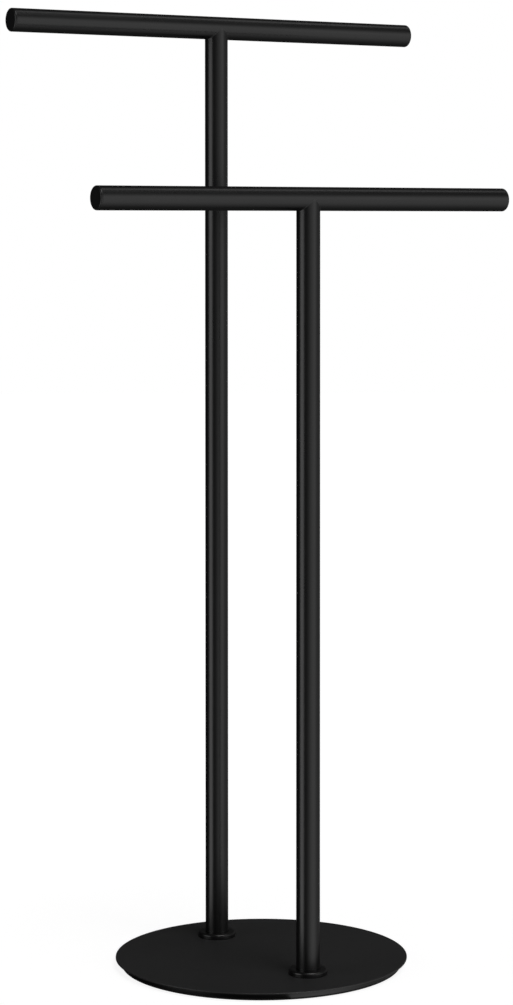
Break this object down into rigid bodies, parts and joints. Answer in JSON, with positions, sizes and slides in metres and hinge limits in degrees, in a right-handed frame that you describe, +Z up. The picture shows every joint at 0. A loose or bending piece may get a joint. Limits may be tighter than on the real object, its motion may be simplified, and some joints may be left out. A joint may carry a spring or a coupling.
{
  "type": "freestanding towel stand",
  "caption": "Freestanding towel stand: round posts rise from a flat round base, each with a level rail across its top, one frame taller than the other.",
  "frame": {"origin": "on the floor under the middle of the round base, halfway between the posts", "axes": "+X along the rails, +Y back towards the taller frame, +Z up"},
  "size_m": [0.442, 0.276, 0.9],
  "materials": {
    "black_coat": "satin black powder coat",
    "cap_plastic": "moulded black plastic, fine matt",
    "pad_rubber": "matt black foam rubber",
    "plated_steel": "bright zinc plating"
  },
  "bodies": {
    "root": {"base_plate": "black_coat", "base_weight": "black_coat", "base_pad": "pad_rubber", "rear_foot_collar": "black_coat", "rear_post": "black_coat", "rear_rail": "black_coat", "rear_foot_insert": "plated_steel", "rear_foot_screw": "plated_steel", "rear_head_spigot": "plated_steel", "rear_head_bolt": "plated_steel", "rear_rail_nut": "plated_steel", "rear_rail_left_cap": "cap_plastic", "rear_rail_right_cap": "cap_plastic", "front_foot_collar": "black_coat", "front_post": "black_coat", "front_rail": "black_coat", "front_foot_insert": "plated_steel", "front_foot_screw": "plated_steel", "front_head_spigot": "plated_steel", "front_head_bolt": "plated_steel", "front_rail_nut": "plated_steel", "front_rail_left_cap": "cap_plastic", "front_rail_right_cap": "cap_plastic"}
  },
  "joints": []
}
